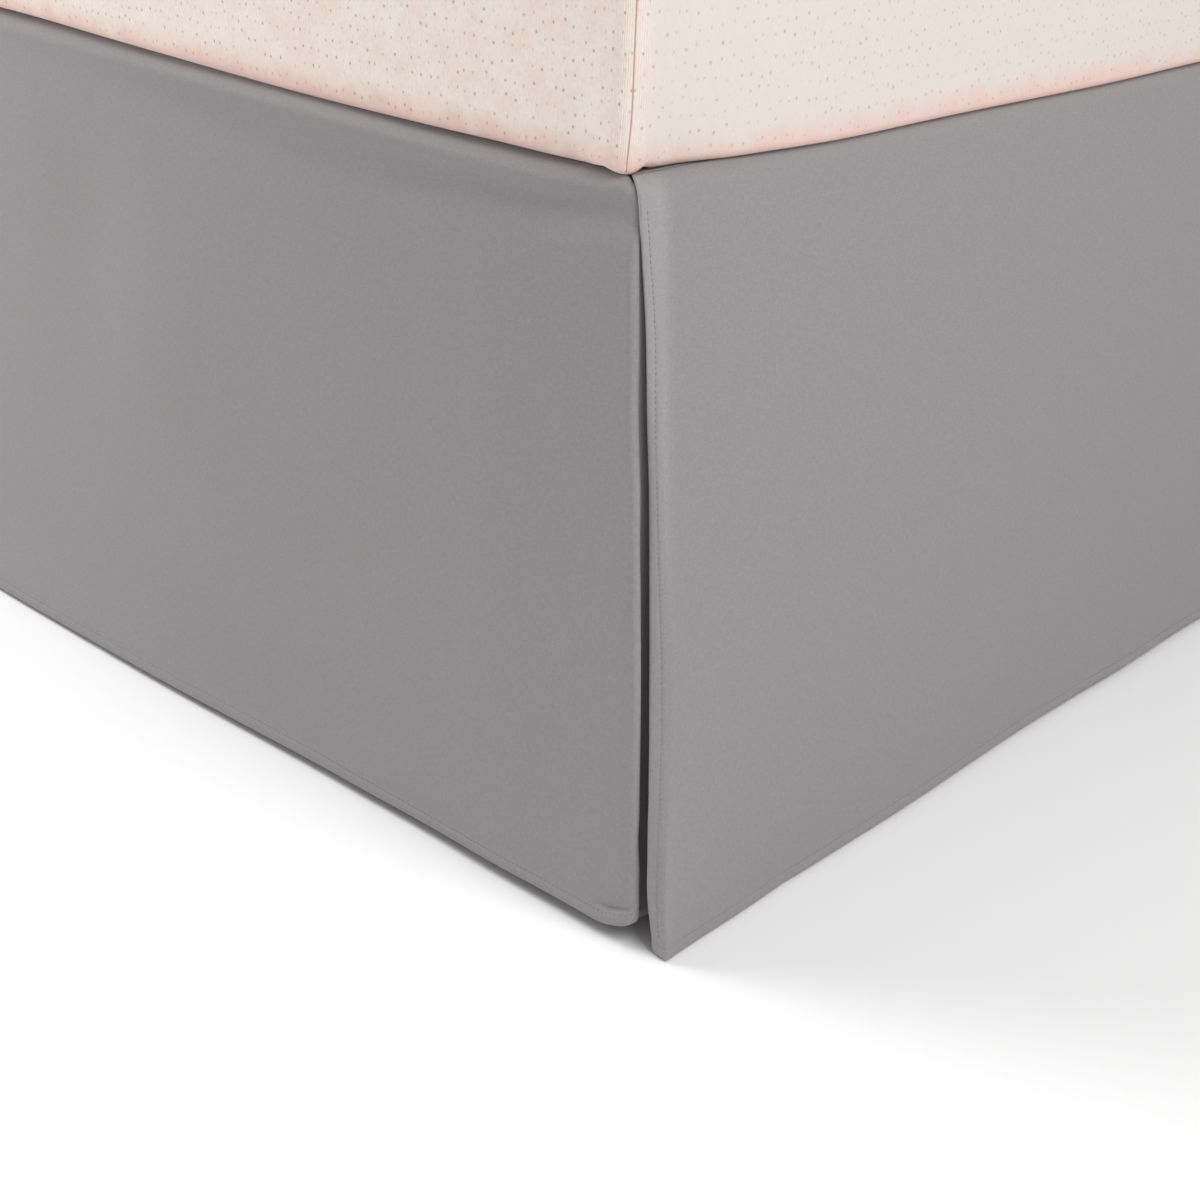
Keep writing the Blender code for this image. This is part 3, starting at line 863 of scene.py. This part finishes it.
def platformSheet():
    reachY = skirt["footPlane"] + skirt["footRoll"] + 2 * skirt["touch"]
    length = skirt["footPlane"] + skirt["deckLength"] - reachY
    rows = [reachY + place for place in gradedSteps(*deckCut["alongSteps"], length)]
    across = [-1 + place * 2 for place in gradedSteps(*deckCut["across"])[:-1]]
    across += [-place for place in reversed(across)]
    maker, cloth = cutGrid(len(across), len(rows))
    for vertex, column, row in gridSpots(maker, len(across), len(rows)):
        y = rows[row]
        roll = sideRollAt(y - skirt["footPlane"] - deckCut["cornerBack"])
        x = across[column] * (skirt["sidePlane"] - roll - 2 * skirt["touch"])
        lift = softNoise(x * deckCut["liftsPerM"], y * deckCut["liftsPerM"], 9)
        inside = min(1 - abs(across[column]), y - reachY)
        lift *= deckCut["liftMm"] * mm * min(1.0, inside * deckCut["settlesPerM"])
        vertex.co = (x, y, skirt["seamZ"] + lift)
    for face in maker.faces:
        for loop in face.loops:
            loop[cloth].uv = loop.vert.co.xy
    piece = finishPiece("skirt_deck", maker, [deckCloth])
    thicken(piece, deckCut["thickMm"])
    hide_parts("deck")


platformSheet()
print("platform sheet laid")


# Padded blocks: a cut box drawn to a rounded outline and rounded lower and upper edges

def cutBlock(size, cuts):
    maker = bmesh.new()
    bmesh.ops.create_cube(maker, size=1.0)
    bmesh.ops.scale(maker, vec=size, verts=maker.verts)
    for axis, places in enumerate(cuts):
        normal = Vector([float(axis == i) for i in range(3)])
        for place in places:
            geom = maker.verts[:] + maker.edges[:] + maker.faces[:]
            bmesh.ops.bisect_plane(maker, geom=geom, plane_co=normal * place, plane_no=normal)
    return maker


def arcCuts(radius, steps):
    return [radius * (1 - math.cos(math.pi / 2 * i / steps)) for i in range(1, steps + 1)]


def planCuts(half, radius, longest):  # from both ends inwards, mirrored
    cuts = [radius * share for share in (0.04, 0.12, 0.25, 0.42, 0.6, 0.8, 1.0)]
    cuts += gradedSteps(radius * 1.25, 0.006, 1.15, longest, half)[:-1]
    return sorted([half - cut for cut in cuts] + [cut - half for cut in cuts] + [0.0])


def roundCorner(x, y, halfX, halfY, radius):
    overX, overY = radius - halfX + abs(x), radius - halfY + abs(y)
    if overX <= 0 or overY <= 0:
        return x, y
    angle = math.pi / 4 * min(overX, overY) / radius
    reach = [math.cos(angle), math.sin(angle)]
    if overX < overY:
        reach.reverse()
    return (
        math.copysign(halfX - radius + radius * reach[0], x),
        math.copysign(halfY - radius + radius * reach[1], y),
    )


def paddedBlock(form, middle, between, shape):
    # between: heights of the cuts between its rounded edges. shape(point, up) moves a point
    size = form["size"]
    upright, low, top = form["radii"]
    heights = arcCuts(low, form["edgeSteps"]) + between
    heights += [size.z - cut for cut in arcCuts(top, form["edgeSteps"])]
    halfX, halfY = size.x / 2, size.y / 2
    maker = cutBlock(size, (
        planCuts(halfX, upright, form["longest"]),
        planCuts(halfY, upright, form["longest"]),
        [height - size.z / 2 for height in heights],
    ))
    cloth = maker.loops.layers.uv.new("cloth")
    for face in maker.faces:
        axes = [axis for axis in range(3) if abs(face.normal[axis]) <= 0.5]
        for loop in face.loops:
            loop[cloth].uv = [loop.vert.co[axis] for axis in axes]
    for vertex in maker.verts:
        x, y, z = vertex.co
        up = z + size.z / 2
        ring = max(abs(x) / halfX, abs(y) / halfY, 1e-6)
        x, y = roundCorner(x / ring, y / ring, halfX, halfY, upright)
        inset = 0.0
        for radius, off in ((low, up), (top, size.z - up)):
            if off < radius:
                inset = radius - math.sqrt(radius * radius - (radius - off) ** 2)
        x *= ring * (halfX - inset) / halfX
        y *= ring * (halfY - inset) / halfY
        vertex.co = shape(Vector((x, y, z)) + middle, up)
    bmesh.ops.recalc_face_normals(maker, faces=maker.faces)
    return maker


def faceMove(far, off, half):  # outward at a block's face, and nothing nearer its middle
    return math.copysign(far * ease(0.9, 1.0, abs(off) / half), off)


mattressForm = {
    "size": Vector((1.520, 2.031, 0.254)),
    "overhang": 0.001,
    "radii": (0.014, 0.0045, 0.020),  # upright corners, lower edge, upper edge
    "edgeSteps": 6,
    "longest": 0.035,  # of a face's sides
    "bulgeMm": 3.0,
    "unevenMm": 0.8,
    "unevenPerM": (9, 11),  # along the faces and up them
    "unevenFrom": 0.03,  # whole from this height up
    "crownMm": 4.0,
    "topUnevenMm": 1.2,
    "topUnevenPerM": 5,
    "seamMm": 0.7,  # how far the upright seams draw the corners in
    "seamReach": (6.6, 3.0),  # where from the corner, and how wide, in mm
    "rimTallMm": 42,  # how far up the lower edge's own shape reaches
    "rimReachMm": 16,  # and how far in
    "footReachMm": 30,
    "footDrawn": 0.65,  # share of the foot end's draw that goes all the way up
}
# the lower edge, by distance from the left foot corner in mm: how far it is drawn in, how far down
sideRim = {
    "along": (
        0, 5, 10, 15, 20, 25, 34, 47, 68, 91, 112, 135, 159, 209, 269, 335, 407, 488, 700, 2031,
    ),
    "in": (0, 0, 0, 0.2, 0.8, 1.7, 3.2, 2.3, 1.3, 1, 0.5, 0.2, -0.2, -0.5, -0.3, 0, 0.5, 1.6, 0.5, 0),
    "down": (
        3.5, 3.9, 0.4, -1.4, -1.3, 0, 0.4, 0.6, 0.7, 0.8, 1.3, 1.6, 2, 2.8, 2.6, 1.7, 1, 0, 1, 1,
    ),
}
footRim = {
    "along": (
        0, 5, 7.5, 10, 12.4, 15, 18, 30, 36, 45, 57, 70,
        84, 104, 127, 152, 210, 299, 365, 406, 446, 760, 1520,
    ),
    "in": (
        7.5, 7.5, 7.5, 7.5, 7.7, 7.9, 8.2, 9, 8, 6.5, 4.5, 3,
        1.8, 0.5, 0, 0, 0.2, 0, -0.2, 0.4, 0.8, 0.5, 3,
    ),
    "down": (
        3.4, 1.2, 0.3, -2.5, -4.2, -4.2, -1.6, 0.2, 0, 0.2, 0.6, 0.8,
        0.8, 1.2, 1.8, 2, 1.5, 1.9, 2, 1.5, 1, 1, 1,
    ),
}


def rimShare(up):
    return max(0.0, 1 - up / (mattressForm["rimTallMm"] * mm)) ** 2


def footDraw(fromLeft, up):
    drawn = mattressForm["footDrawn"]
    drawn += (1 - drawn) * rimShare(up)
    return readTable(footRim, "in", fromLeft) * drawn * mm


def mattressPiece():
    form = mattressForm
    size = form["size"]
    front = skirt["footPlane"] - form["overhang"]
    middle = Vector((0, front + size.y / 2, mattressBase + size.z / 2))
    corner = Vector((-size.x / 2, front))
    low, top = form["radii"][1:]
    between = gradedSteps(low * 1.5, 0.004, 1.35, 0.030, size.z - top)[:-1]
    flatNoise, upNoise = form["unevenPerM"]
    seamOff, seamWide = form["seamReach"]

    def shape(point, up):
        x, y, z = point
        fromLeft, fromFront = (x - corner.x) / mm, (y - corner.y) / mm
        # the nearer face's rim counts, and both blend round the corner
        nearSide = bell(min(fromLeft, size.x / mm - fromLeft) / form["rimReachMm"])
        nearFoot = bell(fromFront / form["rimReachMm"])
        share = nearFoot / (nearFoot + nearSide + 1e-9)
        down = readTable(footRim, "down", fromLeft) * share
        down += readTable(sideRim, "down", fromFront) * (1 - share)
        z -= down * max(nearSide, nearFoot) * rimShare(up) * mm
        y += footDraw(fromLeft, up) * bell(fromFront / form["footReachMm"])
        sideIn = readTable(sideRim, "in", fromFront) * nearSide * rimShare(up) * mm
        x += math.copysign(sideIn, -x)
        far = math.sin(math.pi * min(1.0, up / size.z)) * form["bulgeMm"] * mm
        uneven = softNoise(x * flatNoise, y * flatNoise + z * upNoise, 3) * form["unevenMm"] * mm
        far += uneven * min(1.0, up / form["unevenFrom"])
        x += faceMove(far, x, size.x / 2)
        y += faceMove(far, y - middle.y, size.y / 2)
        if up > size.z - 1e-4:
            nearEdge = max(abs(x) / (size.x / 2), abs(y - middle.y) / (size.y / 2))
            rise = softNoise(x * form["topUnevenPerM"], y * form["topUnevenPerM"], 4)
            z -= (form["crownMm"] * nearEdge**4 - rise * form["topUnevenMm"]) * mm
        fromCorner = math.hypot(size.x / 2 - abs(x), size.y / 2 - abs(y - middle.y)) / mm
        pull = form["seamMm"] * mm * bell((fromCorner - seamOff) / seamWide)
        inward = Vector((math.copysign(1, -x), math.copysign(1, middle.y - y), 0)).normalized()
        return Vector((x, y, z)) + inward * pull * (up < size.z - 0.01)

    maker = paddedBlock(form, middle, between, shape)
    piece = finishPiece("mattress_cover", maker, [knitCover])
    smooth = piece.modifiers.new("smooth", "SUBSURF")
    smooth.levels = smooth.render_levels = 1
    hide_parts("mattress")
    return piece, middle


mattressCover, mattressMiddle = mattressPiece()
print("mattress filled")


# Thin tubes that follow a line of points, for seams and piping

def tubeAlong(name, points, radius, closed, finish, sides=3):
    curve = bpy.data.curves.new(name, "CURVE")
    curve.dimensions = "3D"
    line = curve.splines.new("POLY")
    line.points.add(len(points) - 1)
    for spot, point in zip(line.points, points):
        spot.co = (*point, 1.0)
    line.use_cyclic_u = closed
    curve.bevel_depth = radius
    curve.bevel_resolution = sides
    curve.use_fill_caps = True
    holder = newObject(name, curve)
    made = holder.evaluated_get(bpy.context.evaluated_depsgraph_get())
    mesh = bpy.data.meshes.new_from_object(made)
    bpy.data.objects.remove(holder)
    maker = bmesh.new()
    maker.from_mesh(mesh)
    bmesh.ops.remove_doubles(maker, verts=maker.verts, dist=1e-6)
    bmesh.ops.recalc_face_normals(maker, faces=maker.faces)
    finishPiece(name, maker, [finish])


seamForm = {
    "points": 64,
    "fromBase": 0.0008,
    "shorter": 0.010,  # than the mattress is tall
    "wanderMm": 0.35,
    "wandersPerM": 45,
    "proudMm": 0.05,
    "radius": 0.00026,
    "castFrom": 0.05,  # how far outside the cover a seam is cast on to it from
}


def coverSeam(name, signX, signY):
    # an upright seam follows the cover's own corner, from the base to the top edge
    form = seamForm
    body = mattressCover.evaluated_get(bpy.context.evaluated_depsgraph_get())
    half = mattressForm["size"] / 2
    way = Vector((-signX, -signY, 0)).normalized()
    across = Vector((way.y, -way.x, 0))
    points = []
    for step in range(form["points"]):
        up = form["fromBase"] + step / (form["points"] - 1) * (2 * half.z - form["shorter"])
        z = mattressBase + up
        x = signX * (half.x + form["castFrom"])
        y = mattressMiddle.y + signY * (half.y + form["castFrom"])
        y += footDraw(0 if signX < 0 else 1520, up) * (signY < 0)
        hit, place, normal, _ = body.ray_cast((x, y, z), way)
        if hit:
            wander = softNoise(z * form["wandersPerM"], 0.0, 11) * form["wanderMm"] * mm
            points.append(place + normal * form["proudMm"] * mm + across * wander)
    tubeAlong(name, points, form["radius"], False, seamThread, 2)


for end, signY in (("foot", -1), ("head", 1)):
    for hand, signX in (("left", -1), ("right", 1)):
        coverSeam("cover_seam_" + end + "_" + hand, signX, signY)
print("cover seams sewn")


boxSpringForm = {
    "size": Vector((1.500, 2.011, 0.2287)),
    "inset": 0.009,
    "top": 0.3807,
    "radii": (0.022, 0.010, 0.012),
    "edgeSteps": 3,
    "longest": 0.12,
    "hollowMm": 3.0,  # the ticking draws in between its two piped edges
    "unevenMm": 0.6,
    "unevenPerM": (8, 20),
    "pipingMm": 2.6,
    "pipeSunk": 0.0015,
    "pipeInset": (0.006, 0.007),  # over the base, under the top
    "pipeSteps": 8,
}


def boxSpringPiece():
    form = boxSpringForm
    size = form["size"]
    front = skirt["footPlane"] + form["inset"]
    middle = Vector((0, front + size.y / 2, form["top"] - size.z / 2))
    flatNoise, upNoise = form["unevenPerM"]

    def shape(point, up):
        x, y, z = point
        far = math.sin(math.pi * min(1.0, up / size.z)) * form["hollowMm"] * mm
        far += softNoise(x * flatNoise + y * flatNoise, z * upNoise, 21) * form["unevenMm"] * mm
        x -= faceMove(far, x, size.x / 2)
        y -= faceMove(far, y - middle.y, size.y / 2)
        return Vector((x, y, z))

    maker = paddedBlock(form, middle, [0.03, 0.06, 0.10, 0.14, 0.18], shape)
    for face in maker.faces:
        face.material_index = int(face.normal.z < -0.95)
    piece = finishPiece("box_spring_ticking", maker, [ticking, dustCover])
    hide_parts("box_spring")
    radius = form["radii"][0]
    reach = radius - form["pipeSunk"]
    over, under = form["pipeInset"]
    for label, up in (("lower", over), ("upper", size.z - under)):
        z = form["top"] - size.z + up
        points = []
        for turn, (cornerX, cornerY) in enumerate(((1, 1), (-1, 1), (-1, -1), (1, -1))):
            for step in range(form["pipeSteps"] + 1):
                angle = math.pi / 2 * (turn + step / form["pipeSteps"])
                x = cornerX * (size.x / 2 - radius) + reach * math.cos(angle)
                y = cornerY * (size.y / 2 - radius) + reach * math.sin(angle)
                points.append(Vector((x, middle.y + y, z)))
        name = "box_spring_piping_" + label
        tubeAlong(name, points, form["pipingMm"] * mm, True, ticking)


boxSpringPiece()
print("box spring covered")


# The frame keeps its solids, with screws where the cross rails meet the side rails

frameFinish = {"rail_": powderCoat, "leg_": powderCoat, "glide_": mouldedPlastic}
screwHead = {"radius": 0.008, "taper": 0.93, "tall": 0.0045, "sides": 6, "rounded": 0.0007}
endPlug = {"size": (0.0245, 0.004, 0.0395), "rounded": 0.0012}


def roundEdges(maker, edges, radius):
    bmesh.ops.bevel(
        maker, geom=edges, offset=radius, segments=2, profile=0.5, affect="EDGES", material=-1
    )


def dressFrame():
    for name, node in frame["nodes"].items():
        for start, finish in frameFinish.items():
            if name.startswith(start):
                node.data.materials.clear()
                node.data.materials.append(finish)


def driveScrews():
    maker = bmesh.new()
    wide, tall = screwHead["radius"], screwHead["tall"]
    for side, sign in (("left", -1), ("right", 1)):
        low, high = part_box("rail_" + side)
        x = (low.x if side == "left" else high.x) + sign * tall / 2
        turn = Matrix.Rotation(math.radians(90 * sign), 4, "Y")
        for station in ("foot", "middle", "head"):
            y = sum(corner.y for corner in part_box("rail_" + station)) / 2
            spot = Matrix.Translation((x, y, (low.z + high.z) / 2))
            bmesh.ops.create_cone(
                maker, cap_ends=True, segments=screwHead["sides"], radius1=wide,
                radius2=wide * screwHead["taper"], depth=tall, matrix=spot @ turn,
            )
    rims = [edge for edge in maker.edges if edge.calc_face_angle(0) > 0.6]
    roundEdges(maker, rims, screwHead["rounded"])
    bmesh.ops.recalc_face_normals(maker, faces=maker.faces)
    screws = finishPiece("frame_screws", maker, [zincPlate])
    screws.data.set_sharp_from_angle(angle=math.radians(35))


def plugEnds():
    maker = bmesh.new()
    for side in ("left", "right"):
        low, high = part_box("rail_" + side)
        middle = (low + high) / 2
        for y, sign in ((low.y, -1), (high.y, 1)):
            box = bmesh.ops.create_cube(maker, size=1.0)["verts"]
            bmesh.ops.scale(maker, vec=endPlug["size"], verts=box)
            seat = (middle.x, y + sign * endPlug["size"][1] / 2, middle.z)
            bmesh.ops.translate(maker, vec=seat, verts=box)
    roundEdges(maker, maker.edges, endPlug["rounded"])
    finishPiece("rail_end_plugs", maker, [mouldedPlastic])


dressFrame()
driveScrews()
plugEnds()
print("frame finished")


# Studio: pale floor, soft light, camera above the foot corner

studio = {
    "floorColour": "#fcfcfc",
    "floorSize": 30.0,
    "skyStrength": 0.335,
    "aim": (-0.5, -0.9, 0.3),
    "lights": (
        # name, place, size, watts
        ("footSoftbox", (-0.9, -3.2, 3.0), 2.0, 72),
        ("sideSoftbox", (-1.35, 0.6, 2.0), 1.2, 25),
        ("lowSideSoftbox", (-1.6, 0.7, 0.6), 0.6, 6.6),
        ("cornerSoftbox", (-2.8, -3.0, 1.0), 0.8, 3.4),
        ("lowFootSoftbox", (-0.6, -2.2, 0.8), 0.5, 2.4),
    ),
}
view = {
    "place": (-1.338, -1.5551, 0.574),
    "turnDeg": (44.4, 25.5, -1.96),  # heading, downward, roll
    "lensMm": 59.13,
    "sensorMm": 36.0,
}


def setStudio():
    maker = bmesh.new()
    bmesh.ops.create_grid(maker, x_segments=1, y_segments=1, size=studio["floorSize"] / 2)
    # painted board: pale and quite matt
    colour = studio["floorColour"]
    board = mottledFinish("paintedBoard", colour, colour, 3.0, 0.0, 0.9)
    newMesh("studioFloor", maker, [board])
    world = bpy.data.worlds.new("studio")
    bpy.context.scene.world = world
    world.use_nodes = True
    sky = world.node_tree.nodes["Background"]
    sky.inputs["Color"].default_value = (1.0, 1.0, 1.0, 1.0)
    sky.inputs["Strength"].default_value = studio["skyStrength"]
    for name, place, size, watts in studio["lights"]:
        lamp = newObject(name, bpy.data.lights.new(name, "AREA"))
        lamp.data.shape = "SQUARE"
        lamp.data.size = size
        lamp.data.energy = watts
        lamp.location = place
        way = Vector(studio["aim"]) - Vector(place)
        lamp.rotation_euler = way.to_track_quat("-Z", "Y").to_euler()
    bpy.context.scene.view_settings.view_transform = "Standard"


def setCamera():
    heading, pitch, roll = view["turnDeg"]
    camera = newObject("camera", bpy.data.cameras.new("camera"))
    camera.data.sensor_width = view["sensorMm"]
    camera.data.lens = view["lensMm"]
    seat = Matrix.Translation(view["place"])
    for angle, axis in ((heading - 90, "Z"), (90 - pitch, "X"), (-roll, "Z")):
        seat = seat @ Matrix.Rotation(math.radians(angle), 4, axis)
    camera.matrix_world = seat
    bpy.context.scene.camera = camera


setStudio()
setCamera()
print("studio set")
